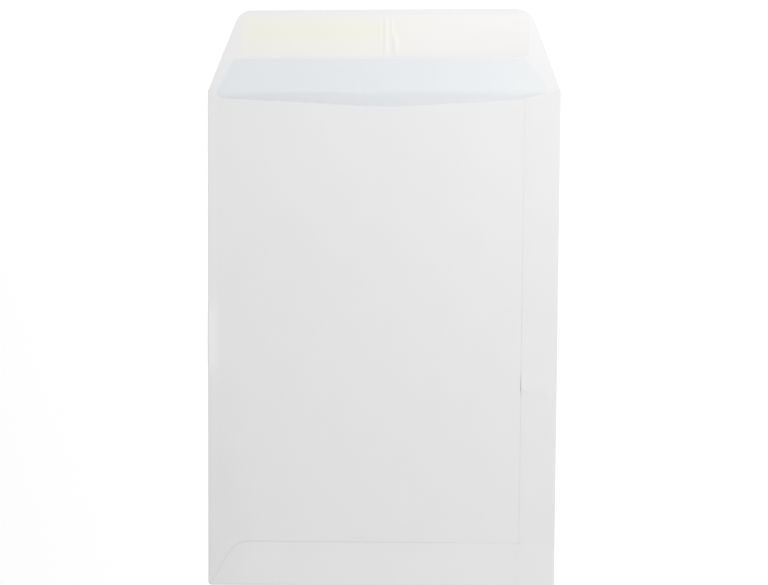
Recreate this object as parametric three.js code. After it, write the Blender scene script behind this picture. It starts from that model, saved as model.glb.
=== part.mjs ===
// Open-end pocket envelope of size C4, lying on its front panel with the seam side up
// and the sealing flap opened out. One die-cut paper blank makes the whole pocket: the back
// panel turns over at the left fold, a side strip turns over at the right fold and is glued
// on top of it, and the bottom flap is glued over both. The sealing flap carries dry gum.
//
// Frame: +X right, +Y from the bottom fold towards the flap, +Z up from the surface that the
// front panel lies on. The origin is the middle of the footprint. Lengths are millimetres.

import * as THREE from "three";
import { mergeGeometries, mergeVertices } from "three/addons/utils/BufferGeometryUtils.js";

// Closed size, outside the folds
const bodyWidth = 229;
const bodyLength = 324;

// Paper, and how sharply it is folded
const paperThickness = 0.12;
const foldInnerRadius = 0.18;
const cornerRelief = 1;

// Films of dried adhesive between glued layers
const glueThickness = 0.05;
const filmClearance = 0.01;

// Side strip along the right fold, with its glue line and the short stretch left open
const stripWidth = 23;
const stripGlueInset = 4;
const stripGlueWidth = 12;
const marginSetback = 1.6;
const stripEdgeLift = 0.08;
const puckerFromBottom = 131;
const puckerAbove = 8.5;
const puckerBelow = 4.5;
const puckerLift = 0.6;

// Bottom flap, a low trapezoid with rounded ends
const bottomFlapLength = 29;
const bottomFlapSideAngle = 29;
const bottomFlapCornerRadius = 17;
const bottomFlapEdgeLift = 0.2;
const bottomGlueInset = 7;
const bottomGlueWidth = 14;
const bottomGlueEndInset = 17;
const seamRampWidth = 3;

// Throat, a shallow V between a short shoulder at the left and a long one at the right
const throatCentreDrop = 12;
const throatEndDrop = 4.9;
const leftShoulderWidth = 9;
const rightShoulderWidth = 27;
const throatRounding = 0.8;
const throatBlendLength = 36;

// How far the back panel bows up at the mouth, and where the bow begins above the bottom
const mouthBow = 6;
const bowStart = 40;

// Sealing flap, its dry gum and how far its free edge springs up
const flapLength = 51.5;
const flapSideAngle = 22;
const flapCornerRadius = 10;
const flapSpring = 1.5;
const gumFromScore = 21.3;
const gumWidth = 26.2;
const gumSideInset = 21.5;
const gumCornerRadius = 4;
const gumThickness = 0.06;

// How finely each part of the sheet is divided, and the least distance between two rows or
// columns of points
const foldSteps = 6;
const backColumns = 14;
const bodyRows = 12;
const puckerRowsEachWay = 3;
const throatRows = 3;
const bottomFlapRows = 4;
const flapRowCount = 8;
const outlineCornerSteps = 5;
const gumCornerSteps = 3;
const leastBodyRow = 3.5;
const leastFlapRow = 1.5;
const leastColumn = 1;

// Finishes
const paperFinish = { color: 0xf3f4f5, roughness: 0.85, metalness: 0 };
const gumFinish = { color: 0xf4f0df, roughness: 0.45, metalness: 0 };
const glueFinish = { color: 0xeae7dc, roughness: 0.6, metalness: 0 };

// Radii of the paper's middle layer round each fold, from how many layers lie inside it
const layerStep = paperThickness + glueThickness + 2 * filmClearance;
const leftRadius = foldInnerRadius + paperThickness / 2;
const rightRadius = leftRadius + layerStep / 2;
const bottomRadius = leftRadius + layerStep;

// Heights of the middle layer where the panels lie flat
const frontHeight = paperThickness / 2;
const backHeight = frontHeight + 2 * leftRadius;
const stripHeight = backHeight + layerStep;

// Fold lines, where the flat front panel ends
const leftFold = -bodyWidth / 2 + leftRadius + paperThickness / 2;
const rightFold = bodyWidth / 2 - rightRadius - paperThickness / 2;
const bottomFold = bottomRadius + paperThickness / 2;
const layersStart = bottomFold + cornerRelief;
const footLeft = leftFold + cornerRelief;
const footRight = rightFold - cornerRelief;

// Landmarks of the side seam
const stripEdge = bodyWidth / 2 - stripWidth;
const stripGlueStart = stripEdge + stripGlueInset;
const stripGlueEnd = stripGlueStart + stripGlueWidth;
const marginEdge = bodyWidth / 2 - marginSetback;
const rampEnd = stripEdge - paperThickness;

// Evenly spaced values from one end to the other, both ends included.
function spread(from, to, steps) {
  return Array.from({ length: steps + 1 }, (_, i) => from + ((to - from) * i) / steps);
}

// Adds values to a sorted list, leaving out any that come too near to one already there.
function addApart(values, extras, spacing) {
  const list = [...values];
  for (const extra of extras) {
    if (list.every((value) => Math.abs(value - extra) >= spacing)) {
      list.push(extra);
    }
  }
  return list.sort((a, b) => a - b);
}

// The lesser of two values, rounded over where they cross.
function roundedMin(a, b, rounding) {
  return (a + b - Math.hypot(a - b, rounding)) / 2;
}

// A trapezoid with rounded corners, as die-cut flaps have: how far its side stands in from
// the fold line's end, and how high its outline is, each as a function of the other.
function roundedTrapezoid(height, sideAngle, cornerRadius) {
  const lean = THREE.MathUtils.degToRad(sideAngle);
  const turn = Math.PI / 2 - lean;
  const tangent = cornerRadius * Math.tan(turn / 2);
  const centreIn = height * Math.tan(lean) + tangent;
  const centreUp = height - cornerRadius;
  const sideEnd = height - tangent * Math.cos(lean);
  const angles = spread(lean, Math.PI / 2, outlineCornerSteps);
  return {
    cornerInsets: angles.map((angle) => centreIn - cornerRadius * Math.cos(angle)),
    cornerHeights: angles.map((angle) => centreUp + cornerRadius * Math.sin(angle)),
    topInset: centreIn,
    insetAt(up) {
      if (up <= sideEnd) {
        return up * Math.tan(lean);
      }
      const rise = Math.min(up - centreUp, cornerRadius);
      return centreIn - Math.sqrt(cornerRadius ** 2 - rise ** 2);
    },
    heightAt(inset) {
      if (inset >= centreIn) {
        return height;
      }
      if (inset <= sideEnd * Math.tan(lean)) {
        return inset / Math.tan(lean);
      }
      return centreUp + Math.sqrt(cornerRadius ** 2 - (centreIn - inset) ** 2);
    },
  };
}

const bottomFlapOutline = roundedTrapezoid(
  bottomFlapLength,
  bottomFlapSideAngle,
  bottomFlapCornerRadius,
);
const flapOutline = roundedTrapezoid(flapLength, flapSideAngle, flapCornerRadius);

// How far the throat edge lies below the flap's score line.
function throatDrop(x) {
  const half = bodyWidth / 2;
  const slope = (throatCentreDrop - throatEndDrop) / half;
  const edgeFrom = (reach, shoulder) => {
    const shoulderSlope = throatEndDrop / shoulder + slope;
    return roundedMin(shoulderSlope * reach, throatEndDrop + slope * reach, throatRounding);
  };
  const fromLeft = edgeFrom(x - leftFold, leftShoulderWidth);
  const fromRight = edgeFrom(rightFold - x, rightShoulderWidth);
  return Math.max(0, roundedMin(fromLeft, fromRight, throatRounding));
}

// How far the back is bowed up from flat: nothing at the folds and over the glued bottom,
// most at the middle of the mouth.
function bow(x, y) {
  const across = Math.sin((Math.PI * (x - leftFold)) / (rightFold - leftFold));
  const along = Math.max(0, y - bowStart) / (bodyLength - throatCentreDrop - bowStart);
  return mouthBow * across * along ** 2;
}

// How far the strip's free edge stands off the back: a slight curl above the bottom flap,
// and one short stretch where the glue has let go.
function seamLift(x, y) {
  const across = Math.max(0, (stripGlueStart - x) / stripGlueInset);
  const along = THREE.MathUtils.smoothstep(y, bottomFlapLength, 2 * bottomFlapLength);
  const offset = y - puckerFromBottom;
  const reach = Math.min(1, Math.abs(offset) / (offset > 0 ? puckerAbove : puckerBelow));
  const pucker = Math.cos((Math.PI / 2) * reach) ** 2;
  return across * (stripEdgeLift * along + puckerLift * pucker);
}

// Height of the bottom flap's middle layer: it steps up where it crosses the side strip, and
// its free edge curls up a little.
function bottomFlapHeight(x, y) {
  const onStrip = THREE.MathUtils.clamp((x - rampEnd) / seamRampWidth + 1, 0, 1);
  const glueTop = bottomGlueInset + bottomGlueWidth;
  const curl = Math.max(0, (y - glueTop) / (bottomFlapLength - glueTop));
  return stripHeight + layerStep * onStrip + bottomFlapEdgeLift * curl;
}

// Height of the sealing flap's middle layer: it springs up at the score and levels out.
function flapHeight(y) {
  const along = THREE.MathUtils.clamp((y - bodyLength) / flapLength, 0, 1);
  return frontHeight + flapSpring * (2 * along - along ** 2);
}

// Rows up the pocket. The last ones follow the throat, so each column ends on its edge.
const throatRowsStart = bodyLength - throatBlendLength;
const puckerRows = [
  ...spread(puckerFromBottom - puckerBelow, puckerFromBottom, puckerRowsEachWay),
  ...spread(puckerFromBottom, puckerFromBottom + puckerAbove, puckerRowsEachWay).slice(1),
];
const straightRows = addApart(
  [layersStart, bottomFlapLength, bowStart, ...puckerRows, throatRowsStart],
  spread(bowStart, throatRowsStart, bodyRows),
  leastBodyRow,
);
const rowCount = straightRows.length + throatRows;

// The y of a row in a column that ends at the given top.
function rowAt(row, top) {
  const above = row - straightRows.length + 1;
  if (above <= 0) {
    return straightRows[row];
  }
  return throatRowsStart + ((top - throatRowsStart) * above) / throatRows;
}

// Columns across the front panel. They pass through the bottom flap too, so they follow its
// rounded ends and the ramp where it climbs the side strip.
const frontColumns = addApart(
  [leftFold, footLeft, rampEnd - seamRampWidth, rampEnd, footRight, rightFold],
  [
    ...bottomFlapOutline.cornerInsets.map((inset) => footLeft + inset),
    ...bottomFlapOutline.cornerInsets.map((inset) => footRight - inset),
    0,
  ],
  leastColumn,
);

// A patch of the sheet's middle layer, as a grid of points. Its upper side is the inside of
// the paper when the points run left to right and bottom to top in the unfolded blank. Each
// cell is split along the diagonal that climbs to the right as seen from above, on the
// turned-over back too, so that glued layers stay parallel where the back is bowed.
function patch(columns, rows, pointAt) {
  const positions = [];
  const index = [];
  for (let row = 0; row < rows; row += 1) {
    for (let column = 0; column < columns; column += 1) {
      positions.push(...pointAt(column, row));
    }
  }
  for (let row = 0; row < rows - 1; row += 1) {
    for (let column = 0; column < columns - 1; column += 1) {
      const corner = row * columns + column;
      const above = corner + columns;
      const turnedOver = positions[3 * corner + 3] < positions[3 * corner];
      if (turnedOver) {
        index.push(corner, corner + 1, above);
        index.push(corner + 1, above + 1, above);
      } else {
        index.push(corner, corner + 1, above + 1);
        index.push(corner, above + 1, above);
      }
    }
  }
  const geometry = new THREE.BufferGeometry();
  geometry.setAttribute("position", new THREE.Float32BufferAttribute(positions, 3));
  geometry.setIndex(index);
  return geometry;
}

// Edges that only one triangle uses, in that triangle's direction.
function openEdges(index) {
  const directed = new Map();
  for (let i = 0; i < index.length; i += 3) {
    for (let side = 0; side < 3; side += 1) {
      const from = index[i + side];
      const to = index[i + ((side + 1) % 3)];
      directed.set(`${from},${to}`, [from, to]);
    }
  }
  return [...directed.values()].filter(([from, to]) => !directed.has(`${to},${from}`));
}

// Joins patches along their common edges and gives them thickness: each point moves half of
// it along its normal to either side, and a rim closes the open edges.
function sheetSolid(patches, thickness) {
  const middle = mergeVertices(mergeGeometries(patches));
  middle.computeVertexNormals();
  const place = middle.getAttribute("position");
  const normal = middle.getAttribute("normal");
  const count = place.count;
  const positions = [];
  for (const side of [1, -1]) {
    for (let i = 0; i < count; i += 1) {
      const point = new THREE.Vector3().fromBufferAttribute(place, i);
      const offset = new THREE.Vector3().fromBufferAttribute(normal, i);
      positions.push(...point.addScaledVector(offset, (side * thickness) / 2));
    }
  }
  const inside = Array.from(middle.getIndex().array);
  const index = [...inside];
  for (let i = 0; i < inside.length; i += 3) {
    index.push(inside[i] + count, inside[i + 2] + count, inside[i + 1] + count);
  }
  for (const [from, to] of openEdges(inside)) {
    index.push(from, from + count, to + count);
    index.push(from, to + count, to);
  }
  const solid = new THREE.BufferGeometry();
  solid.setAttribute("position", new THREE.Float32BufferAttribute(positions, 3));
  solid.setIndex(index);
  solid.computeVertexNormals();
  return solid;
}

// A point on a fold, part of the way round from the front panel's edge to the layer above.
function foldPoint(share, radius) {
  const angle = Math.PI * share;
  return { out: radius * Math.sin(angle), up: radius * (1 - Math.cos(angle)) };
}

// Columns round the pocket, in the order of the unfolded blank: the back panel from its
// glued margin to the left fold, the fold, the front panel, the right fold and the strip.
// Each says where its top ends and gives its point at a height.
function pocketColumns() {
  const backStations = [
    marginEdge,
    stripGlueEnd,
    stripGlueStart,
    ...spread(stripEdge, leftFold, backColumns).slice(0, -1),
  ];
  const back = backStations.map((x) => ({
    top: bodyLength - throatDrop(x),
    at: (y) => [x, y, backHeight + bow(x, y)],
  }));
  const left = spread(1, 0, foldSteps).map((share) => ({
    top: bodyLength,
    at: (y) => {
      const { out, up } = foldPoint(share, leftRadius);
      return [leftFold - out, y, frontHeight + up];
    },
  }));
  const front = frontColumns.slice(1, -1).map((x) => ({
    top: bodyLength,
    at: (y) => [x, y, frontHeight],
  }));
  const right = spread(0, 1, foldSteps).map((share) => ({
    top: bodyLength,
    at: (y) => {
      const { out, up } = foldPoint(share, rightRadius);
      return [rightFold + out, y, frontHeight + up];
    },
  }));
  const strip = [stripGlueEnd, stripGlueStart, stripEdge].map((x) => ({
    top: bodyLength - throatDrop(x),
    at: (y) => [x, y, stripHeight + bow(x, y) + seamLift(x, y)],
  }));
  return [...back, ...left, ...front, ...right, ...strip];
}

// The pocket's wall, all the way round from the glued margin to the strip's free edge.
function pocketPatch() {
  const columns = pocketColumns();
  return patch(columns.length, rowCount, (column, row) => {
    const { top, at } = columns[column];
    return at(rowAt(row, top));
  });
}

// The foot of the front panel, between the bottom fold and the lowest row of the pocket.
function footPatch() {
  return patch(frontColumns.length, 2, (column, row) => [
    frontColumns[column],
    row === 0 ? bottomFold : layersStart,
    frontHeight,
  ]);
}

// The bottom fold and flap, from the flap's free edge down to the front panel's foot.
function bottomFlapPatch() {
  const columns = frontColumns.slice(1, -1);
  const flapShares = spread(1, 0, bottomFlapRows).slice(0, -1);
  const foldShares = spread(1, 0, foldSteps);
  return patch(columns.length, flapShares.length + foldShares.length, (column, row) => {
    const x = columns[column];
    const radius = (bottomFlapHeight(x, bottomFold) - frontHeight) / 2;
    if (row >= flapShares.length) {
      const { out, up } = foldPoint(foldShares[row - flapShares.length], radius);
      return [x, bottomFold - out, frontHeight + up];
    }
    const inset = Math.min(x - footLeft, footRight - x);
    const top = Math.max(layersStart, bottomFlapOutline.heightAt(inset));
    const y = THREE.MathUtils.lerp(bottomFold, top, flapShares[row]);
    return [x, y, bottomFlapHeight(x, y)];
  });
}

// Rows up the sealing flap, through its rounded corners and the edges of the gum.
const gumTop = gumFromScore + gumWidth;
const gumCornerRows = spread(0, Math.PI / 2, gumCornerSteps).map(
  (angle) => gumFromScore + gumCornerRadius * (1 - Math.cos(angle)),
);
const flapRows = addApart(
  [0, ...gumCornerRows, gumTop, flapLength],
  [...flapOutline.cornerHeights, ...spread(0, flapLength, flapRowCount)],
  leastFlapRow,
);

// The sealing flap, tapering from the score line to its rounded free edge.
function flapPatch() {
  return patch(frontColumns.length, flapRows.length, (column, row) => {
    const up = flapRows[row];
    const inset = flapOutline.insetAt(up);
    const share = (frontColumns[column] - leftFold) / (rightFold - leftFold);
    const x = THREE.MathUtils.lerp(leftFold + inset, rightFold - inset, share);
    return [x, bodyLength + up, flapHeight(bodyLength + up)];
  });
}

// The blank, folded into the pocket.
function foldedSheet() {
  return sheetSolid([pocketPatch(), footPatch(), bottomFlapPatch(), flapPatch()], paperThickness);
}

// Dry gum on the inside of the sealing flap, a band with rounded lower corners. It follows
// the flap's own rows, so it lies evenly on it.
function flapGum() {
  const rows = flapRows.filter((up) => up >= gumFromScore && up <= gumTop);
  const lift = paperThickness / 2 + filmClearance + gumThickness / 2;
  const sides = [-1, 0, 1];
  const film = patch(sides.length, rows.length, (column, row) => {
    const up = rows[row];
    const fall = Math.max(0, gumFromScore + gumCornerRadius - up);
    const corner = gumCornerRadius - Math.sqrt(gumCornerRadius ** 2 - fall ** 2);
    const half = bodyWidth / 2 - gumSideInset - corner;
    return [half * sides[column], bodyLength + up, flapHeight(bodyLength + up) + lift];
  });
  return sheetSolid([film], gumThickness);
}

// Glue line of the side seam, between the back panel's margin and the strip.
function sideSeamGlue() {
  const columns = [stripGlueStart, stripGlueEnd];
  const lift = paperThickness / 2 + filmClearance + glueThickness / 2;
  const film = patch(columns.length, rowCount - 2, (column, row) => {
    const x = columns[column];
    const y = rowAt(row + 1, bodyLength - throatDrop(x));
    return [x, y, backHeight + bow(x, y) + lift];
  });
  return sheetSolid([film], glueThickness);
}

// Glue line under the bottom flap. It steps up onto the side strip with the flap.
function bottomFlapGlue() {
  const ends = bodyWidth / 2 - bottomGlueEndInset;
  const columns = [-ends, rampEnd - seamRampWidth, rampEnd, ends];
  const drop = paperThickness / 2 + filmClearance + glueThickness / 2;
  const film = patch(columns.length, 2, (column, row) => {
    const y = bottomGlueInset + bottomGlueWidth * row;
    return [columns[column], y, bottomFlapHeight(columns[column], y) - drop];
  });
  return sheetSolid([film], glueThickness);
}

// A named piece with a material of its own.
function piece(name, geometry, finish) {
  const mesh = new THREE.Mesh(geometry, new THREE.MeshStandardMaterial(finish));
  mesh.name = name;
  return mesh;
}

const envelope = new THREE.Group();
envelope.add(
  piece("folded_sheet", foldedSheet(), paperFinish),
  piece("flap_gum", flapGum(), gumFinish),
  piece("side_seam_glue", sideSeamGlue(), glueFinish),
  piece("bottom_flap_glue", bottomFlapGlue(), glueFinish),
);
envelope.position.y = -(bodyLength + flapLength) / 2;

export default envelope;
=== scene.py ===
import math

import bpy
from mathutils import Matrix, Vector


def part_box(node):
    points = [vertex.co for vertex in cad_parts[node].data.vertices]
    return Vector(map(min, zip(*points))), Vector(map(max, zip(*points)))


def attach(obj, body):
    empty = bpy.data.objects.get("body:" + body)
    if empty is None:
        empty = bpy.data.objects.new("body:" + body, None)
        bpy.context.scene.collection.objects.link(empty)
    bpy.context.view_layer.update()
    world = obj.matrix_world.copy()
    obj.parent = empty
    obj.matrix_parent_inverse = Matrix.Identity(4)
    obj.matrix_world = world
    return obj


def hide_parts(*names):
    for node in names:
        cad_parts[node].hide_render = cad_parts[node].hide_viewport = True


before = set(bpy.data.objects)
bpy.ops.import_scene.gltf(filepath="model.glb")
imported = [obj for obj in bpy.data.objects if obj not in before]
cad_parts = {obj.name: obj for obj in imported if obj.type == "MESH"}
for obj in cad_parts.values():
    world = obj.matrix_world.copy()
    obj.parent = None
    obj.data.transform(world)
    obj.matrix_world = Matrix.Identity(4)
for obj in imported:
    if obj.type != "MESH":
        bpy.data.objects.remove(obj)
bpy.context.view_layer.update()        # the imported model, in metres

print("frame loaded:", ", ".join(sorted(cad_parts)))

# The blank and how it is folded, in metres
sheet = {
    "bodyLength": 0.324,
    "thickness": 0.00012,
    "foldInside": 0.00018,       # inside radius of the left fold
    "foldSteps": 8,
    "layerGap": 0.00007,         # room for the glue between two layers
    "cornerRelief": 0.001,
    "stripWidth": 0.0235,
    "marginSetback": 0.0016,
    "stripEdgeLift": 0.00004,
    "stripLiftEnd": (0.262, 0.06),        # how far up it ends, and the length it fades over
    "stripPress": 0.00005,       # the strip's free margin lies closer than its glued part
    "stripPressFade": 0.01,
    "bottomLength": 0.029,
    "bottomSideAngle": 29,
    "bottomCornerRadius": 0.017,
    "bottomEdgeLift": (0.0003, 0.0001),   # on the left and on the right
    "bottomLiftChange": (0.03, 0.03),     # where left begins to turn into right, and over what width
    "bottomCornerLift": 0.00010,          # more at its left corner
    "bottomCornerReach": (0.03, 0.02),
    "rampWidth": 0.003,          # where the bottom flap climbs the side strip
    "throatCentreDrop": 0.0123,
    "throatEndDrop": 0.0052,
    "leftShoulder": 0.009,
    "rightShoulder": 0.027,
    "throatRounding": 0.0008,
    "throatBlend": 3,            # the rows are drawn down over so many times the throat's drop
    "mouthBow": 0.00596,
    "bowStart": 0.040,
    "flapSideAngle": 22,
    "flapCornerRadius": 0.010,
    "flapSpring": (0.0008, 0.0034),       # at its left and right ends
    "flapSlant": 0.0006,         # its left end is cut that much shorter
    "slantReach": (0.05, 0.14),  # the slant's right end and its width
    "flapSkew": 0.0007,          # its free edge has slipped that far to the right
    "rightCut": {                # its right corner is cut flatter
        "side": 0.00065, "top": 0.0032, "reach": 0.014, "sharpness": 6, "from": 0.02, "over": 0.06,
    },
    "narrower": (0.0030, 0.0098),         # of the width, at the score and at the foot
    "cutEdgeDip": 0.00006,       # the cutter has turned the free edges down
    "cutEdgeFade": 0.01,
    "smoothAngle": 40,
}

# Lines and bands of adhesive; all but the gum lie hidden between two layers
gum = {
    "fromScore": 0.0213, "width": 0.0262, "sideInset": 0.0215, "corner": 0.004,
    "thickness": 0.00006, "gap": 0.00001,
}
sideGlue = {"inset": 0.004, "width": 0.012, "endInset": 0.006, "thickness": 0.00005}
bottomGlue = {"inset": 0.007, "width": 0.014, "endInset": 0.017, "thickness": 0.00005}

# What use and storage have left in the paper
marks = {
    "pucker": {"up": 0.1315, "above": 0.0115, "below": 0.0045, "lift": 0.00042},
    "crease": {
        "start": (0.0915, 0.1310), "end": (0.1140, 0.1285), "above": 0.010, "below": 0.005,
        "lift": 0.0004, "lead": 0.004, "fade": 0.006,
    },
    "dent": {"across": -0.1180, "up": 0.1615, "reach": (0.0065, 0.0205), "lift": 0.0011, "pushedIn": 0.3},
    "ripples": (                 # place, width and height at the gum's top, and again at its foot
        ((-0.0033, 0.0008, 0.00006), (-0.0033, 0.0008, 0.00005)),
        ((0.0005, 0.0014, 0.00014), (0.0006, 0.0014, 0.00015)),
        ((0.0044, 0.0010, 0.00011), (0.0067, 0.0020, 0.00022)),
    ),
    "rippleFade": {"lead": 0.001, "foot": 0.006, "top": 0.005, "bendFrom": 0.35, "bendOver": 0.3},
    "score": {
        "height": 0.0005, "above": 0.012, "below": 0.010, "leftShare": 0.55, "leftDrop": 0.001,
        "changeFrom": -0.02, "changeOver": 0.05, "endFade": 0.02,
    },
    "wave": {
        "size": 0.055, "height": 0.00003, "slant": 0.4, "crossPitch": 0.6, "crossSlant": 0.3,
        "fineShare": 0.5, "finePitch": 1.7, "fineSlant": 0.8, "fineStart": 1.3,
        "calmLeft": 0.03, "calmRight": 0.02, "calmFoot": 0.045, "calmAbove": 0.03,
    },
}

lowCorner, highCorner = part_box("folded_sheet")
halfWidth = (highCorner.x - lowCorner.x) / 2
bottomY = lowCorner.y
flapLength = highCorner.y - lowCorner.y - sheet["bodyLength"]
scoreY = bottomY + sheet["bodyLength"]
tiny = 1e-6

# Heights of the paper's middle where the panels lie flat
layerStep = sheet["thickness"] + sheet["layerGap"]
leftRadius = sheet["foldInside"] + sheet["thickness"] / 2
rightRadius = leftRadius + layerStep / 2
bottomRadius = leftRadius + layerStep
frontZ = sheet["thickness"] / 2
backZ = frontZ + 2 * leftRadius
stripZ = backZ + layerStep
bottomFlapZ = stripZ + layerStep

# Fold lines and seam landmarks
leftFold = -halfWidth + leftRadius + sheet["thickness"] / 2
rightFold = halfWidth - rightRadius - sheet["thickness"] / 2
bottomFold = bottomY + bottomRadius + sheet["thickness"] / 2
layersStart = bottomFold + sheet["cornerRelief"]
footLeft = leftFold + sheet["cornerRelief"]
footRight = rightFold - sheet["cornerRelief"]
stripEdge = halfWidth - sheet["stripWidth"]
sideGlueStart = stripEdge + sideGlue["inset"]
marginEdge = halfWidth - sheet["marginSetback"]
rampEnd = stripEdge - sheet["thickness"]
gumLow = scoreY + gum["fromScore"]
gumHigh = gumLow + gum["width"]


def spread(start, end, steps):
    return [start + (end - start) * i / steps for i in range(steps + 1)]


def clamp(value, low=0.0, high=1.0):
    return max(low, min(high, value))


def ease(value):
    value = clamp(value)
    return value * value * (3 - 2 * value)


def roundedMin(a, b, rounding):
    return (a + b - math.hypot(a - b, rounding)) / 2


# A die-cut flap's end: a slanted side that runs into a rounded corner
def flapEnd(height, sideAngle, radius):
    lean = math.radians(sideAngle)
    tangent = radius * math.tan((math.pi / 2 - lean) / 2)
    return {
        "height": height, "lean": lean, "radius": radius,
        "sideEnd": height - tangent * math.cos(lean),
        "centreIn": height * math.tan(lean) + tangent,
        "centreUp": height - radius,
    }


def insetAt(end, up):
    if up <= end["sideEnd"]:
        return up * math.tan(end["lean"])
    rise = min(up - end["centreUp"], end["radius"])
    return end["centreIn"] - math.sqrt(end["radius"] ** 2 - rise ** 2)


def heightAt(end, inset):
    if inset >= end["centreIn"]:
        return end["height"]
    if inset <= end["sideEnd"] * math.tan(end["lean"]):
        return inset / math.tan(end["lean"])
    return end["centreUp"] + math.sqrt(end["radius"] ** 2 - (end["centreIn"] - inset) ** 2)


bottomEnd = flapEnd(sheet["bottomLength"], sheet["bottomSideAngle"], sheet["bottomCornerRadius"])
sealingEnd = flapEnd(flapLength, sheet["flapSideAngle"], sheet["flapCornerRadius"])


# How far the throat lies below the score line
def throatDrop(x):
    slope = (sheet["throatCentreDrop"] - sheet["throatEndDrop"]) / halfWidth
    drops = []
    for reach, shoulder in ((x - leftFold, sheet["leftShoulder"]), (rightFold - x, sheet["rightShoulder"])):
        shoulderSlope = sheet["throatEndDrop"] / shoulder + slope
        drops.append(roundedMin(shoulderSlope * reach, sheet["throatEndDrop"] + slope * reach,
                                sheet["throatRounding"]))
    return max(0.0, roundedMin(drops[0], drops[1], sheet["throatRounding"]))


# The back bows up from its folds towards the mouth
def bow(x, y):
    across = math.sin(math.pi * clamp((x - leftFold) / (rightFold - leftFold)))
    along = max(0.0, y - bottomY - sheet["bowStart"])
    along /= sheet["bodyLength"] - sheet["throatCentreDrop"] - sheet["bowStart"]
    return sheet["mouthBow"] * across * along ** 2


# The strip's free edge curls a little, and stands open on one short stretch
def seamLift(x, y):
    up = y - bottomY
    across = clamp((sideGlueStart - x) / sideGlue["inset"])
    liftEnd, liftFade = sheet["stripLiftEnd"]
    along = ease((up - sheet["bottomLength"]) / sheet["bottomLength"]) * ease((liftEnd - up) / liftFade)
    offset = up - marks["pucker"]["up"]
    reach = clamp(abs(offset) / marks["pucker"]["above" if offset > 0 else "below"])
    pucker = math.cos(math.pi / 2 * reach) ** 2
    press = sheet["stripPress"] * ease((up - sheet["bottomLength"]) / sheet["stripPressFade"])
    return across * (sheet["stripEdgeLift"] * along - press + marks["pucker"]["lift"] * pucker)


def flapRise(x, y):
    along = clamp((y - scoreY) / flapLength)
    left, right = sheet["flapSpring"]
    spring = left + (right - left) * ease((x - leftFold) / (rightFold - leftFold))
    return spring * (2 * along - along ** 2)


# The score stands up as a low ridge, higher on the right; on the left its crest lies just below the score
def scoreRidge(x, y):
    score = marks["score"]
    rightward = ease((x - score["changeFrom"]) / score["changeOver"])
    share = score["leftShare"] + (1 - score["leftShare"]) * rightward
    crest = scoreY - score["leftDrop"] * (1 - rightward)
    ends = ease((x - leftFold) / score["endFade"]) * ease((rightFold - x) / score["endFade"])
    side = clamp(abs(y - crest) / score["above" if y > crest else "below"])
    return score["height"] * share * ends * (1 - side) ** 2


# Upright ripples where the gum has drawn the flap together
def gumRipple(x, y):
    edge = marks["rippleFade"]
    along = clamp((y - gumLow) / gum["width"])
    fade = ease((y - gumLow + edge["lead"]) / edge["foot"]) * ease((gumHigh - y) / edge["top"])
    rise = 0.0
    upper = ease((along - edge["bendFrom"]) / edge["bendOver"])
    for top, foot in marks["ripples"]:
        line, width, height = (low + (high - low) * upper for high, low in zip(top, foot))
        rise += height * math.exp(-((x - line) / width) ** 2)
    return rise * fade


# Slow unevenness of the back panel; it dies out at the folds and the glued places
def backWave(x, y):
    wave = marks["wave"]
    turn = 2 * math.pi / wave["size"]
    rise = math.sin(turn * (x + wave["slant"] * y))
    rise *= math.sin(wave["crossPitch"] * turn * (y - wave["crossSlant"] * x))
    fine = math.sin(wave["finePitch"] * turn * (wave["fineSlant"] * x - y) + wave["fineStart"])
    rise += wave["fineShare"] * fine
    fade = ease((x - leftFold) / wave["calmLeft"]) * ease((stripEdge - x) / wave["calmRight"])
    fade *= ease((y - bottomY - wave["calmFoot"]) / wave["calmAbove"])
    return wave["height"] * rise * fade


# The soft crease from the open stretch of the seam to the right fold
def stripCrease(x, y):
    crease = marks["crease"]
    (x0, y0), (x1, y1) = crease["start"], crease["end"]
    line = bottomY + y0 + (y1 - y0) * clamp((x - x0) / (x1 - x0))
    side = (y - line) / crease["above" if y > line else "below"]
    fade = ease((x - x0 + crease["lead"]) / crease["fade"]) * ease((rightFold - x) / crease["fade"])
    return crease["lift"] * math.exp(-side * side) * fade


# The pressed place on the left fold
def foldDent(x, y):
    dent = marks["dent"]
    reachX, reachY = dent["reach"]
    across = (x - dent["across"]) / reachX
    along = (y - bottomY - dent["up"]) / reachY
    return dent["lift"] * math.exp(-across * across - along ** 4)


# How much lower the bottom flap lies where there is no side strip under it
def layersLess(x):
    return layerStep * clamp((rampEnd - x) / sheet["rampWidth"])


def selectPoints(piece, wanted):
    bpy.ops.object.mode_set(mode="EDIT")
    bpy.ops.mesh.select_mode(type="VERT")
    bpy.ops.mesh.select_all(action="DESELECT")
    bpy.ops.object.mode_set(mode="OBJECT")
    for vertex in piece.data.vertices:
        vertex.select = wanted(vertex.co)
    bpy.ops.object.mode_set(mode="EDIT")


def extrudeThrough(places, axis):
    for here, there in zip(places, places[1:]):
        move = [0.0, 0.0, 0.0]
        move[axis] = there - here
        bpy.ops.mesh.extrude_region_move(TRANSFORM_OT_translate={"value": move})


def flatGrid(name, columns, rows, height):
    bpy.ops.object.select_all(action="DESELECT")
    bpy.ops.mesh.primitive_grid_add(x_subdivisions=len(columns) - 1, y_subdivisions=len(rows) - 1, size=1)
    piece = bpy.context.active_object
    piece.name = name
    piece.data.name = name
    for vertex in piece.data.vertices:
        column = round((vertex.co.x + 0.5) * (len(columns) - 1))
        row = round((vertex.co.y + 0.5) * (len(rows) - 1))
        vertex.co = (columns[column], rows[row], height)
    return piece


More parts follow.
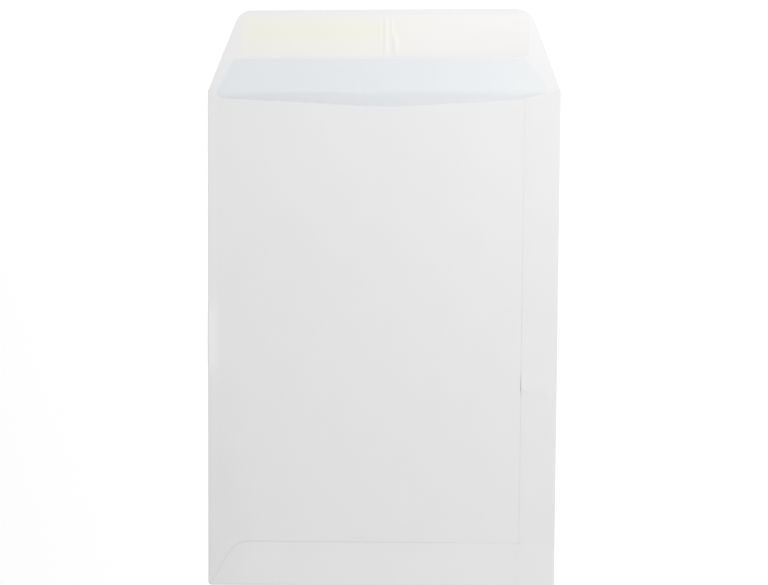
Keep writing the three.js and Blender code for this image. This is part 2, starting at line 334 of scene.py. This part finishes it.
# How finely the sheet is divided: steps in each stretch of it, and where the stretches meet
grain = {
    "columns": (18, 16, 50, 14, 18), "cornerWidth": 0.028, "rippleLeft": -0.006, "rippleRight": 0.014,
    "rows": (36, 26, 56, 8), "puckerBelow": 0.014, "puckerAbove": 0.012, "nearScore": 0.004,
    "back": (84, 10),
    "strip": (14, 5),
    "bottomFlap": 14, "lastRow": 0.0005,
    "flap": (6, 24), "flapFoot": 0.003, "flapCorner": 9,
}


def stretches(bounds, steps):
    places = [bounds[0]]
    for here, there, count in zip(bounds, bounds[1:], steps):
        places += spread(here, there, count)[1:]
    return places


# Front panel first, then every other panel folded out of its edges
def foldSheet():
    columns = [leftFold] + stretches(
        (footLeft, footLeft + grain["cornerWidth"], grain["rippleLeft"], grain["rippleRight"],
         footRight - grain["cornerWidth"], footRight), grain["columns"]) + [rightFold]
    puckerUp = bottomY + marks["pucker"]["up"]
    rows = [bottomFold] + stretches(
        (layersStart, puckerUp - grain["puckerBelow"], puckerUp + grain["puckerAbove"],
         scoreY - grain["nearScore"], scoreY), grain["rows"])
    piece = flatGrid("paper_sheet", columns, rows, frontZ)

    # left fold and back panel
    selectPoints(piece, lambda co: abs(co.x - leftFold) < tiny and co.y > layersStart - tiny)
    bpy.ops.mesh.spin(steps=sheet["foldSteps"], angle=-math.pi, center=(leftFold, 0, frontZ + leftRadius),
                      axis=(0, 1, 0))
    extrudeThrough(stretches((leftFold, stripEdge, marginEdge), grain["back"]), 0)

    # right fold and side strip
    selectPoints(piece, lambda co: abs(co.x - rightFold) < tiny and abs(co.z - frontZ) < tiny
                 and co.y > layersStart - tiny)
    bpy.ops.mesh.spin(steps=sheet["foldSteps"], angle=math.pi, center=(rightFold, 0, frontZ + rightRadius),
                      axis=(0, 1, 0))
    extrudeThrough(stretches((rightFold, sideGlueStart, stripEdge), grain["strip"]), 0)

    # bottom fold and flap
    selectPoints(piece, lambda co: abs(co.y - bottomFold) < tiny
                 and footLeft - tiny < co.x < footRight + tiny)
    bpy.ops.mesh.spin(steps=sheet["foldSteps"], angle=math.pi,
                      center=(0, bottomFold, frontZ + bottomRadius), axis=(1, 0, 0))
    lastRow = sheet["bottomLength"] - grain["lastRow"]
    extrudeThrough(spread(0, lastRow, grain["bottomFlap"]) + [sheet["bottomLength"]], 1)

    # sealing flap, narrowed row by row
    selectPoints(piece, lambda co: abs(co.y - scoreY) < tiny and abs(co.z - frontZ) < tiny
                 and leftFold - tiny < co.x < rightFold + tiny)
    cornerRows = [sealingEnd["centreUp"] + sealingEnd["radius"] * math.sin(angle)
                  for angle in spread(sealingEnd["lean"], math.pi / 2, grain["flapCorner"])]
    flapRows = stretches((0, grain["flapFoot"], cornerRows[0]), grain["flap"]) + cornerRows[1:]
    halfSpan = (rightFold - leftFold) / 2
    middle = (rightFold + leftFold) / 2
    for here, there in zip(flapRows, flapRows[1:]):
        narrower = (halfSpan - insetAt(sealingEnd, there)) / (halfSpan - insetAt(sealingEnd, here))
        bpy.ops.mesh.extrude_region_move(TRANSFORM_OT_translate={"value": (0, there - here, 0)})
        bpy.ops.transform.resize(value=(narrower, 1, 1), center_override=(middle, 0, 0))
    bpy.ops.mesh.select_all(action="SELECT")
    bpy.ops.mesh.remove_doubles(threshold=tiny)
    bpy.ops.mesh.normals_make_consistent(inside=False)
    bpy.ops.object.mode_set(mode="OBJECT")
    frontFace = min(piece.data.polygons, key=lambda face: face.center.z + abs(face.center.y))
    if frontFace.normal.z < 0:
        bpy.ops.object.mode_set(mode="EDIT")
        bpy.ops.mesh.select_all(action="SELECT")
        bpy.ops.mesh.flip_normals()
        bpy.ops.object.mode_set(mode="OBJECT")
    return piece


# Draws the rows at the mouth down to the throat
def cutThroat(x, y, z):
    throatStart = scoreY - sheet["throatBlend"] * sheet["throatCentreDrop"]
    if y > throatStart:
        share = (y - throatStart) / (scoreY - throatStart)
        y = throatStart + share * (scoreY - throatDrop(x) - throatStart)
        z -= sheet["cutEdgeDip"] * (share > 1 - tiny) * ease(throatDrop(x) / sheet["throatEndDrop"])
    return x, y, z


def shapeBottomFlap(x, y, z):
    glueTop = bottomY + bottomGlue["inset"] + bottomGlue["width"]
    share = (y - bottomFold) / sheet["bottomLength"]
    top = max(layersStart - bottomY, heightAt(bottomEnd, min(x - footLeft, footRight - x)))
    y = bottomFold + share * (top - (bottomFold - bottomY))
    curl = clamp((y - glueTop) / (bottomY + sheet["bottomLength"] - glueTop))
    leftLift, rightLift = sheet["bottomEdgeLift"]
    changeStart, changeWidth = sheet["bottomLiftChange"]
    lift = leftLift + (rightLift - leftLift) * ease((x - changeStart) / changeWidth)
    z += lift * curl - layersLess(x)
    cornerReach, cornerFade = sheet["bottomCornerReach"]
    z += sheet["bottomCornerLift"] * share ** 2 * ease((footLeft + cornerReach - x) / cornerFade)
    edge = ease((top - layersStart + bottomY) / sheet["cutEdgeFade"])
    z -= sheet["cutEdgeDip"] * (share > 1 - tiny) * edge
    return x, y, z


# The fold is tighter where the bottom flap lies on the back alone
def shapeBottomFold(x, y, z):
    squeeze = 1 - layersLess(x) / (2 * bottomRadius)
    return x, bottomFold + (y - bottomFold) * squeeze, frontZ + (z - frontZ) * squeeze


def shapeFrontAndFlap(x, y, z):
    z += scoreRidge(x, y)
    if y > scoreY:
        z += flapRise(x, y) + gumRipple(x, y)
    if y > gumLow:
        freeEdge = scoreY + flapLength
        slant = clamp((y - gumLow) / (freeEdge - gumLow))
        slantRight, slantWidth = sheet["slantReach"]
        cut = sheet["rightCut"]
        near = clamp(1 - (freeEdge - y) / cut["reach"])
        y -= sheet["flapSlant"] * slant * clamp((slantRight - x) / slantWidth)
        inset = cut["side"] * near + cut["top"] * near ** cut["sharpness"]
        x -= inset * ease((x - cut["from"]) / cut["over"])
    return x, y, z


# Gives the folded panels their cut outlines and their natural heights
def shapeSheet(piece):
    atScore, atFoot = sheet["narrower"]
    for vertex in piece.data.vertices:
        x, y, z = vertex.co
        onBack = abs(z - backZ) < tiny and x > leftFold - tiny and y > layersStart - tiny
        onStrip = abs(z - stripZ) < tiny and y > layersStart - tiny
        onBottomFlap = abs(z - bottomFlapZ) < tiny
        onBottomFold = y < bottomFold - tiny
        if onBack or onStrip:
            x, y, z = cutThroat(x, y, z)
        if onBack:
            z += bow(x, y) + foldDent(x, y) + backWave(x, y)
            x += marks["dent"]["pushedIn"] * foldDent(x, y)
        elif onStrip:
            z += bow(x, y) + seamLift(x, y) + stripCrease(x, y)
        elif onBottomFlap:
            x, y, z = shapeBottomFlap(x, y, z)
        elif onBottomFold:
            x, y, z = shapeBottomFold(x, y, z)
        elif x < leftFold - tiny:
            # the upper half of the fold moves whole with the dent, the lower half less and less
            pressed = foldDent(x, y) * min(1, 2 * (z - frontZ) / (backZ - frontZ))
            z += pressed
            x += marks["dent"]["pushedIn"] * pressed
        elif z < frontZ + tiny:
            x, y, z = shapeFrontAndFlap(x, y, z)
        narrower = atScore + (atFoot - atScore) * clamp((scoreY - y) / sheet["bodyLength"])
        x = (x + halfWidth) * (1 - narrower) - halfWidth
        x += sheet["flapSkew"] * clamp((y - scoreY) / flapLength)
        vertex.co = (x, y, z)


# A copy of some of the sheet's faces, cut to a band's outline and moved off the paper
def cutBand(name, source, inBand, cuts, lift, thickness):
    bpy.ops.object.select_all(action="DESELECT")
    source.select_set(True)
    bpy.context.view_layer.objects.active = source
    bpy.ops.object.mode_set(mode="EDIT")
    bpy.ops.mesh.select_mode(type="FACE")
    bpy.ops.mesh.select_all(action="DESELECT")
    bpy.ops.object.mode_set(mode="OBJECT")
    for face in source.data.polygons:
        face.select = inBand(face.center)
    bpy.ops.object.mode_set(mode="EDIT")
    bpy.ops.mesh.duplicate()
    bpy.ops.mesh.separate(type="SELECTED")
    bpy.ops.object.mode_set(mode="OBJECT")
    band = next(item for item in bpy.context.selected_objects if item != source)
    band.name = name
    band.data.name = name
    bpy.ops.object.select_all(action="DESELECT")
    band.select_set(True)
    bpy.context.view_layer.objects.active = band
    bpy.ops.object.mode_set(mode="EDIT")
    for place, outward in cuts:
        bpy.ops.mesh.select_all(action="SELECT")
        bpy.ops.mesh.bisect(plane_co=place, plane_no=outward, clear_outer=True)
    bpy.ops.mesh.select_all(action="SELECT")
    bpy.ops.transform.translate(value=(0, 0, lift))
    bpy.ops.object.mode_set(mode="OBJECT")
    thicken(band, thickness)
    return band


def thicken(piece, thickness, otherSide=0):
    solid = piece.modifiers.new("thickness", "SOLIDIFY")
    solid.thickness = thickness
    solid.offset = 0
    solid.use_quality_normals = True
    solid.material_offset = otherSide
    solid.material_offset_rim = otherSide
    bpy.ops.object.select_all(action="DESELECT")
    piece.select_set(True)
    bpy.context.view_layer.objects.active = piece
    bpy.ops.object.modifier_apply(modifier=solid.name)


def smoothPiece(piece, angle):
    bpy.ops.object.select_all(action="DESELECT")
    piece.select_set(True)
    bpy.context.view_layer.objects.active = piece
    bpy.ops.object.shade_smooth_by_angle(angle=math.radians(angle))


# Straight cuts round a band, with its lower corners rounded if it has a corner radius
def bandCuts(low, high, corner=0, cornerSteps=5):
    cuts = [((low[0], 0, 0), (-1, 0, 0)), ((high[0], 0, 0), (1, 0, 0)),
            ((0, low[1], 0), (0, -1, 0)), ((0, high[1], 0), (0, 1, 0))]
    if corner:
        for step in range(cornerSteps):
            angle = math.radians(90) * (step + 0.5) / cornerSteps
            for side, centreX in ((-1, low[0] + corner), (1, high[0] - corner)):
                outward = (side * math.cos(angle), -math.sin(angle), 0)
                place = (centreX + corner * outward[0], low[1] + corner + corner * outward[1], 0)
                cuts.append((place, outward))
    return cuts


paperSheet = foldSheet()
shapeSheet(paperSheet)
print("sheet folded:", len(paperSheet.data.vertices), "points")

gumLeft, gumRight = -halfWidth + gum["sideInset"], halfWidth - gum["sideInset"]
cutMargin = 0.003    # the copied faces reach that far past a band before it is cut
gumBand = cutBand(
    "gum_band", paperSheet,
    lambda centre: gumLow - cutMargin < centre.y < gumHigh + cutMargin,
    bandCuts((gumLeft, gumLow), (gumRight, gumHigh), gum["corner"]),
    sheet["thickness"] / 2 + gum["thickness"] / 2 + gum["gap"], gum["thickness"])

sideGlueEnd = sideGlueStart + sideGlue["width"]
sideGlueLine = cutBand(
    "side_glue_line", paperSheet,
    lambda centre: sideGlueStart - cutMargin < centre.x < sideGlueEnd + cutMargin
    and abs(centre.z - backZ - bow(centre.x, centre.y)) < layerStep / 3,
    bandCuts((sideGlueStart, layersStart + sideGlue["endInset"]),
             (sideGlueEnd, scoreY - sheet["throatEndDrop"] - sideGlue["endInset"])),
    layerStep / 2, sideGlue["thickness"])

bottomGlueLow = bottomY + bottomGlue["inset"]
bottomGlueHigh = bottomGlueLow + bottomGlue["width"]
bottomGlueLine = cutBand(
    "bottom_glue_line", paperSheet,
    lambda centre: bottomGlueLow - cutMargin < centre.y < bottomGlueHigh + cutMargin
    and abs(centre.z - bottomFlapZ + layersLess(centre.x)) < layerStep / 3,
    bandCuts((-halfWidth + bottomGlue["endInset"], bottomGlueLow),
             (halfWidth - bottomGlue["endInset"], bottomGlueHigh)),
    -layerStep / 2, bottomGlue["thickness"])
print("gum and glue laid:", len(gumBand.data.vertices), len(sideGlueLine.data.vertices),
      len(bottomGlueLine.data.vertices), "points")


# A new material, with what its nodes hang on
def newMaterial(name):
    material = bpy.data.materials.new(name)
    material.use_nodes = True
    nodes, links = material.node_tree.nodes, material.node_tree.links
    place = nodes.new("ShaderNodeTexCoord").outputs["Object"]
    return material, nodes, links, nodes["Principled BSDF"], place


def noise(nodes, links, place, scale, detail=3.0, stretch=(1, 1, 1), roughness=0.5):
    mapping = nodes.new("ShaderNodeMapping")
    mapping.inputs["Scale"].default_value = stretch
    links.new(place, mapping.inputs["Vector"])
    texture = nodes.new("ShaderNodeTexNoise")
    texture.inputs["Scale"].default_value = scale
    texture.inputs["Detail"].default_value = detail
    texture.inputs["Roughness"].default_value = roughness
    links.new(mapping.outputs["Vector"], texture.inputs["Vector"])
    return texture.outputs["Fac"]


def ramp(nodes, links, value, fromLow, fromHigh, toLow=0.0, toHigh=1.0, smooth=False):
    mapRange = nodes.new("ShaderNodeMapRange")
    mapRange.interpolation_type = "SMOOTHSTEP" if smooth else "LINEAR"
    mapRange.inputs["From Min"].default_value = fromLow
    mapRange.inputs["From Max"].default_value = fromHigh
    mapRange.inputs["To Min"].default_value = toLow
    mapRange.inputs["To Max"].default_value = toHigh
    links.new(value, mapRange.inputs["Value"])
    return mapRange.outputs["Result"]


def sums(nodes, links, operation, first, second):
    mathNode = nodes.new("ShaderNodeMath")
    mathNode.operation = operation
    for socket, value in zip(mathNode.inputs, (first, second)):
        if isinstance(value, (int, float)):
            socket.default_value = value
        else:
            links.new(value, socket)
    return mathNode.outputs["Value"]


def mix(nodes, links, share, first, second):
    mixer = nodes.new("ShaderNodeMix")
    mixer.data_type = "RGBA"
    sockets = {socket.identifier: socket for socket in mixer.inputs}
    for identifier, value in (("Factor_Float", share), ("A_Color", first), ("B_Color", second)):
        if isinstance(value, (int, float, tuple)):
            sockets[identifier].default_value = value
        else:
            links.new(value, sockets[identifier])
    return next(socket for socket in mixer.outputs if socket.identifier == "Result_Color")


def multiply(nodes, links, first, second):
    mixer = mix(nodes, links, 1.0, first, second)
    mixer.node.blend_type = "MULTIPLY"
    return mixer


# 1 on the far side of a straight line across the sheet, 0 on the near side
def beyond(nodes, links, place, here, direction, softness):
    length = math.hypot(*direction)
    along = nodes.new("ShaderNodeVectorMath")
    along.operation = "DOT_PRODUCT"
    along.inputs[1].default_value = (direction[0] / length, direction[1] / length, 0)
    links.new(place, along.inputs[0])
    offset = (here[0] * direction[0] + here[1] * direction[1]) / length
    return ramp(nodes, links, along.outputs["Value"], offset - softness, offset + softness, smooth=True)


def fieldMask(nodes, links, place, lines, softness):
    mask = None
    for here, direction in lines:
        inside = beyond(nodes, links, place, here, direction, softness)
        mask = inside if mask is None else sums(nodes, links, "MULTIPLY", mask, inside)
    return mask


# 1 in the quarter of the sheet that lies past a point both ways
def quarterMask(nodes, links, place, here, ways, softness):
    across = beyond(nodes, links, place, here, (ways[0], 0), softness[0])
    along = beyond(nodes, links, place, here, (0, ways[1]), softness[1])
    return sums(nodes, links, "MULTIPLY", across, along)


def grey(value):
    return (value, value, value, 1)


# Lightens or darkens a colour where the mask is 1
def toned(nodes, links, colour, mask, tone):
    return multiply(nodes, links, colour, mix(nodes, links, mask, grey(1), grey(tone)))


# Nearly all of a noise lies between these two values
noiseLow, noiseHigh = 0.3, 0.7

# Smooth white paper: faint clouding, fine fibres, a slightly uneven sheen
paper = {
    "inside": ((0.922, 0.922, 0.922, 1), (0.914, 0.914, 0.915, 1)),
    "outside": ((0.890, 0.890, 0.890, 1), (0.882, 0.882, 0.883, 1)),
    "cloudSize": 38,
    "cloudRange": (0.35, 0.65),
    "fibreSize": 1900,
    "fibreStretch": (1, 0.35, 1),
    "fibreHeight": 0.00002,
    "fibreStrength": 0.5,
    "roughness": (0.62, 0.8),
    "specular": 0.25,
}
# Soft changes of tone, inside: painted shade towards the left and painted light towards the right; where
# each begins, how softly, and the tone it reaches
insideTones = {
    # painted shade towards the left edge, painted light towards the right edge
    "shadeOnLeft": {"from": -0.100, "way": -1, "soft": 0.012, "tone": 0.984},
    "lightOnRight": {"from": 0.088, "way": 1, "soft": 0.012, "tone": 1.028},
    "corner": {"from": 0.065, "soft": (0.035, 0.001), "tone": 0.975},   # right of there, above the gum
}
# And outside, measured from the folds and the foot
outsideTones = {
    "printBehind": {"left": 0.0055, "right": 0.001, "soft": 0.0015, "tone": 0.984},
    # painted shade low on the left fold; painted light high on it and on the left below the mouth
    "shadeLowOnFold": {"from": (0.014, 0.115), "way": -1, "soft": (0.026, 0.045), "tone": 0.958},
    "lightHighOnFold": {"from": (0.0003, 0.160), "way": 1, "soft": (0.0015, 0.045), "tone": 1.050},
    "lightBelowMouth": {"from": (0.0962, 0.245), "way": 1, "soft": (0.035, 0.045), "tone": 1.018},
    # painted highlight on the left fold where it was pressed in
    "dentHighlight": {"from": 0.003, "soft": 0.006, "tone": 1.050},     # where that fold was pressed
}
# The security tint printed on the inside, as a field with its margins
printed = {
    # the ink is paler and more neutral towards the right; the paling is partly painted light
    "ink": ((0.834, 0.867, 0.893, 1), (0.908, 0.926, 0.943, 1)),   # towards the left and the right
    "inkChange": {"at": 0.03, "soft": 0.13},
    "corners": ((-0.1092, 0.3224), (-0.0996, 0.3410), (0.0936, 0.3401), (0.1041, 0.3275)),
    "top": 0.3442,
    "soft": 0.0006,
    "cloudSize": 60,
    "cloudStretch": (1, 0.4, 1),
    "fill": (0.92, 1.0),
    "hairlines": (               # place across, foot and top
        (-0.0166, 0.3180, 0.3286), (0.0168, 0.3155, 0.3365), (0.0434, 0.3200, 0.3233),
    ),
    "hairline": {"paleHalf": 0.0009, "darkHalf": 0.0003, "soft": 0.00015, "inkLeft": 0.3, "tone": 0.955},
}


def paperBase(nodes, links, place, shader, whites):
    clouds = noise(nodes, links, place, paper["cloudSize"], detail=4)
    white = mix(nodes, links, ramp(nodes, links, clouds, *paper["cloudRange"]), *whites)
    fibres = noise(nodes, links, place, paper["fibreSize"], detail=4, stretch=paper["fibreStretch"],
                   roughness=0.65)
    rough = ramp(nodes, links, fibres, noiseLow, noiseHigh, *paper["roughness"])
    links.new(rough, shader.inputs["Roughness"])
    bump = nodes.new("ShaderNodeBump")
    bump.inputs["Strength"].default_value = paper["fibreStrength"]
    bump.inputs["Distance"].default_value = paper["fibreHeight"]
    links.new(fibres, bump.inputs["Height"])
    links.new(bump.outputs["Normal"], shader.inputs["Normal"])
    shader.inputs["Specular IOR Level"].default_value = paper["specular"]
    return white


# 1 in the field that the margins leave for the print
def printedField(nodes, links, place):
    (leftLowX, leftLowY), (leftTopX, leftTopY), (rightTopX, rightTopY), (rightLowX, rightLowY) = (
        (x, bottomY + y) for x, y in printed["corners"])
    return fieldMask(nodes, links, place, (
        ((leftLowX, leftLowY), (leftTopY - leftLowY, leftLowX - leftTopX)),
        ((rightLowX, rightLowY), (rightLowY - rightTopY, rightTopX - rightLowX)),
        ((leftLowX, 0), (1, 0)),
        ((rightLowX, 0), (-1, 0)),
        ((0, bottomY + printed["top"]), (0, -1)),
    ), printed["soft"])


def uprightStroke(nodes, links, place, x, half, low, high):
    return fieldMask(nodes, links, place, (
        ((x - half, 0), (1, 0)),
        ((x + half, 0), (-1, 0)),
        ((0, bottomY + low), (0, 1)),
        ((0, bottomY + high), (0, -1)),
    ), printed["hairline"]["soft"])


def insidePaper():
    material, nodes, links, shader, place = newMaterial("inside_paper")
    white = paperBase(nodes, links, place, shader, paper["inside"])
    # painted shade towards the left edge and painted light towards the right edge
    for margin in (insideTones["shadeOnLeft"], insideTones["lightOnRight"]):
        mask = beyond(nodes, links, place, (margin["from"], 0), (margin["way"], 0), margin["soft"])
        white = toned(nodes, links, white, mask, margin["tone"])
    corner = insideTones["corner"]
    mask = quarterMask(nodes, links, place, (corner["from"], gumHigh), (1, 1), corner["soft"])
    white = toned(nodes, links, white, mask, corner["tone"])

    # each hairline is a fine dark stroke with a pale edge on both sides
    field = printedField(nodes, links, place)
    hairline = printed["hairline"]
    dark = None
    for x, low, high in printed["hairlines"]:
        pale = uprightStroke(nodes, links, place, x, hairline["paleHalf"], low, high)
        stroke = uprightStroke(nodes, links, place, x, hairline["darkHalf"], low, high)
        edges = sums(nodes, links, "SUBTRACT", pale, stroke)
        gone = sums(nodes, links, "MULTIPLY", edges, 1 - hairline["inkLeft"])
        field = sums(nodes, links, "SUBTRACT", field, gone)
        dark = stroke if dark is None else sums(nodes, links, "ADD", dark, stroke)

    clouds = noise(nodes, links, place, printed["cloudSize"], stretch=printed["cloudStretch"])
    fill = ramp(nodes, links, clouds, noiseLow, noiseHigh, *printed["fill"])
    inked = sums(nodes, links, "MULTIPLY", field, fill)
    # the ink grows paler towards the right, partly painted light
    change = printed["inkChange"]
    rightward = beyond(nodes, links, place, (change["at"], 0), (1, 0), change["soft"])
    ink = mix(nodes, links, rightward, *printed["ink"])
    colour = toned(nodes, links, mix(nodes, links, inked, white, ink), dark, hairline["tone"])
    links.new(colour, shader.inputs["Base Color"])
    return material


def outsidePaper():
    material, nodes, links, shader, place = newMaterial("outside_paper")
    colour = paperBase(nodes, links, place, shader, paper["outside"])
    # a little darker where print lies behind the paper
    behind = outsideTones["printBehind"]
    mask = fieldMask(nodes, links, place, (
        ((leftFold + behind["left"], 0), (1, 0)),
        ((rightFold + behind["right"], 0), (-1, 0)),
        ((0, bottomY + sheet["bottomLength"]), (0, 1)),
        ((0, scoreY), (0, -1)),
    ), behind["soft"])
    colour = toned(nodes, links, colour, mask, behind["tone"])
    # painted shade low on the left fold, painted light high on it and on the left below the mouth
    for name in ("shadeLowOnFold", "lightHighOnFold", "lightBelowMouth"):
        change = outsideTones[name]
        here = (leftFold + change["from"][0], bottomY + change["from"][1])
        mask = quarterMask(nodes, links, place, here, (-1, change["way"]), change["soft"])
        colour = toned(nodes, links, colour, mask, change["tone"])
    # painted highlight on the left fold at the dent
    dentHighlight = outsideTones["dentHighlight"]
    dentUp = bottomY + marks["dent"]["up"]
    reach = marks["dent"]["reach"][1]
    mask = fieldMask(nodes, links, place, (
        ((leftFold + dentHighlight["from"], 0), (-1, 0)),
        ((0, dentUp - reach), (0, 1)),
        ((0, dentUp + reach), (0, -1)),
    ), dentHighlight["soft"])
    colour = toned(nodes, links, colour, mask, dentHighlight["tone"])
    links.new(colour, shader.inputs["Base Color"])
    return material


# Cream gum, deepest in a streak on the left that lies along the band's middle
gumLook = {
    "pale": (0.925, 0.908, 0.890, 1),
    # more neutral at the right end where the gum is thinner, and darkened there with painted shade
    "far": (0.885, 0.869, 0.862, 1),      # at the right end
    "farChange": {"at": 0.065, "soft": 0.045},
    "deep": (0.932, 0.921, 0.812, 1),
    "deepFade": (-0.02, 0.03),
    "thick": {"foot": 0.0100, "top": 0.0045, "left": 0.006, "soft": 0.003, "least": 0.35},
    "streakSize": 90,
    "streakStretch": (0.35, 2.2, 1),
    "streakShare": (0.6, 1.0),
    "roughness": (0.36, 0.52),
    "grainSize": 700,
    "grainHeight": 0.00003,
    "grainStrength": 0.4,
}


def driedGum():
    material, nodes, links, shader, place = newMaterial("dried_gum")
    separate = nodes.new("ShaderNodeSeparateXYZ")
    links.new(place, separate.inputs["Vector"])
    leftward = ramp(nodes, links, separate.outputs["X"], *gumLook["deepFade"], toLow=1.0, toHigh=0.0,
                    smooth=True)
    streaks = noise(nodes, links, place, gumLook["streakSize"], stretch=gumLook["streakStretch"])
    thick = gumLook["thick"]
    mask = fieldMask(nodes, links, place, (
        ((0, gumLow + thick["foot"]), (0, 1)),
        ((0, gumHigh - thick["top"]), (0, -1)),
        ((gumLeft + thick["left"], 0), (1, 0)),
    ), thick["soft"])
    mask = ramp(nodes, links, mask, 0, 1, thick["least"], 1.0)
    streaky = ramp(nodes, links, streaks, noiseLow, noiseHigh, *gumLook["streakShare"])
    share = sums(nodes, links, "MULTIPLY", leftward, streaky)
    share = sums(nodes, links, "MULTIPLY", share, mask)
    # thinner, more neutral gum towards the right end, darkened with painted shade
    change = gumLook["farChange"]
    rightward = beyond(nodes, links, place, (change["at"], 0), (1, 0), change["soft"])
    plain = mix(nodes, links, rightward, gumLook["pale"], gumLook["far"])
    links.new(mix(nodes, links, share, plain, gumLook["deep"]), shader.inputs["Base Color"])
    rough = ramp(nodes, links, streaks, noiseLow, noiseHigh, *gumLook["roughness"])
    links.new(rough, shader.inputs["Roughness"])
    bump = nodes.new("ShaderNodeBump")
    bump.inputs["Strength"].default_value = gumLook["grainStrength"]
    bump.inputs["Distance"].default_value = gumLook["grainHeight"]
    links.new(noise(nodes, links, place, gumLook["grainSize"]), bump.inputs["Height"])
    links.new(bump.outputs["Normal"], shader.inputs["Normal"])
    return material


glueLook = {
    "colours": ((0.83, 0.81, 0.74, 1), (0.78, 0.76, 0.68, 1)),
    "patchSize": 220,
    "roughness": (0.4, 0.6),
}


def driedGlue():
    material, nodes, links, shader, place = newMaterial("dried_glue")
    patches = noise(nodes, links, place, glueLook["patchSize"])
    links.new(mix(nodes, links, patches, *glueLook["colours"]), shader.inputs["Base Color"])
    rough = ramp(nodes, links, patches, noiseLow, noiseHigh, *glueLook["roughness"])
    links.new(rough, shader.inputs["Roughness"])
    return material


paperSheet.data.materials.append(insidePaper())
paperSheet.data.materials.append(outsidePaper())
thicken(paperSheet, sheet["thickness"], 1)
gumBand.data.materials.append(driedGum())
glueMaterial = driedGlue()
sideGlueLine.data.materials.append(glueMaterial)
bottomGlueLine.data.materials.append(glueMaterial)
for piece in (paperSheet, gumBand, sideGlueLine, bottomGlueLine):
    smoothPiece(piece, sheet["smoothAngle"])
print("paper thickened and finishes set")

for piece, slot, node in (
        (paperSheet, "paper", "folded_sheet"), (gumBand, "gum", "flap_gum"),
        (sideGlueLine, "glue", "side_seam_glue"), (bottomGlueLine, "glue", "bottom_flap_glue")):
    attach(piece, "root")
    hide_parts(node)

# Soft lamp above the top right, a weak one low at the foot, a pale room all round, a white table
studio = {
    "lampPlace": (0.46, 0.60, 1.00), "lampSize": 0.6, "lampPower": 8.42,
    "lowLampPlace": (0.30, -1.00, 0.76), "lowLampSize": 0.25, "lowLampPower": 1.53,
    "room": 0.422,
    "table": (0.93, 0.93, 0.93, 1), "tableSize": 6.0, "tableDrop": 0.00005,
    "tableRoughness": 0.9, "tableSpecular": 0.1,
    "tableGlow": (0.16, 0.66), "glowReach": (0.4, 3.0),
}


# 1 where the camera looks straight, by reflection or through something clear
def seenDirectly(nodes, links):
    path = nodes.new("ShaderNodeLightPath")
    seen = path.outputs["Is Camera Ray"]
    for ray in ("Is Glossy Ray", "Is Transmission Ray"):
        seen = sums(nodes, links, "MAXIMUM", seen, path.outputs[ray])
    return seen


for name, start in (("soft_lamp", "lamp"), ("low_lamp", "lowLamp")):
    bpy.ops.object.select_all(action="DESELECT")
    bpy.ops.object.light_add(type="AREA", location=studio[start + "Place"])
    lamp = bpy.context.active_object
    lamp.name = name
    lamp.data.shape = "DISK"
    lamp.data.size = studio[start + "Size"]
    lamp.data.energy = studio[start + "Power"]
    lamp.rotation_euler = lamp.location.to_track_quat("Z", "Y").to_euler()

room = bpy.data.worlds.new("room")
bpy.context.scene.world = room
room.use_nodes = True
background = room.node_tree.nodes["Background"]
background.inputs["Color"].default_value = grey(1)
roomNodes, roomLinks = room.node_tree.nodes, room.node_tree.links
roomSeen = ramp(roomNodes, roomLinks, seenDirectly(roomNodes, roomLinks), 0, 1, studio["room"], 1)
roomLinks.new(roomSeen, background.inputs["Strength"])

bpy.ops.mesh.primitive_plane_add(size=studio["tableSize"], location=(0, 0, -studio["tableDrop"]))
table = bpy.context.active_object
table.name = "table"
material, nodes, links, shader, place = newMaterial("white_table")
shader.inputs["Base Color"].default_value = studio["table"]
shader.inputs["Roughness"].default_value = studio["tableRoughness"]
shader.inputs["Specular IOR Level"].default_value = studio["tableSpecular"]
fromLamp = nodes.new("ShaderNodeVectorMath")
fromLamp.operation = "DISTANCE"
fromLamp.inputs[1].default_value = (studio["lampPlace"][0], studio["lampPlace"][1], 0)
links.new(place, fromLamp.inputs[0])
glow = ramp(nodes, links, fromLamp.outputs["Value"], *studio["glowReach"], *studio["tableGlow"])
glow = sums(nodes, links, "MULTIPLY", glow, seenDirectly(nodes, links))
shader.inputs["Emission Color"].default_value = grey(1)
links.new(glow, shader.inputs["Emission Strength"])
table.data.materials.append(material)

# The photograph's place and lens
view = {"place": (0.0110, 0.0271, 0.6943), "turn": (-1.810, 0.905, 0.237), "lens": 50, "sensor": 36}
camera = bpy.data.objects.new("camera", bpy.data.cameras.new("camera"))
bpy.context.scene.collection.objects.link(camera)
camera.location = view["place"]
camera.rotation_euler = tuple(math.radians(turn) for turn in view["turn"])
camera.data.lens = view["lens"]
camera.data.sensor_width = view["sensor"]
bpy.context.scene.camera = camera
bpy.context.scene.view_settings.view_transform = "Standard"
print("lamp, table and camera placed")
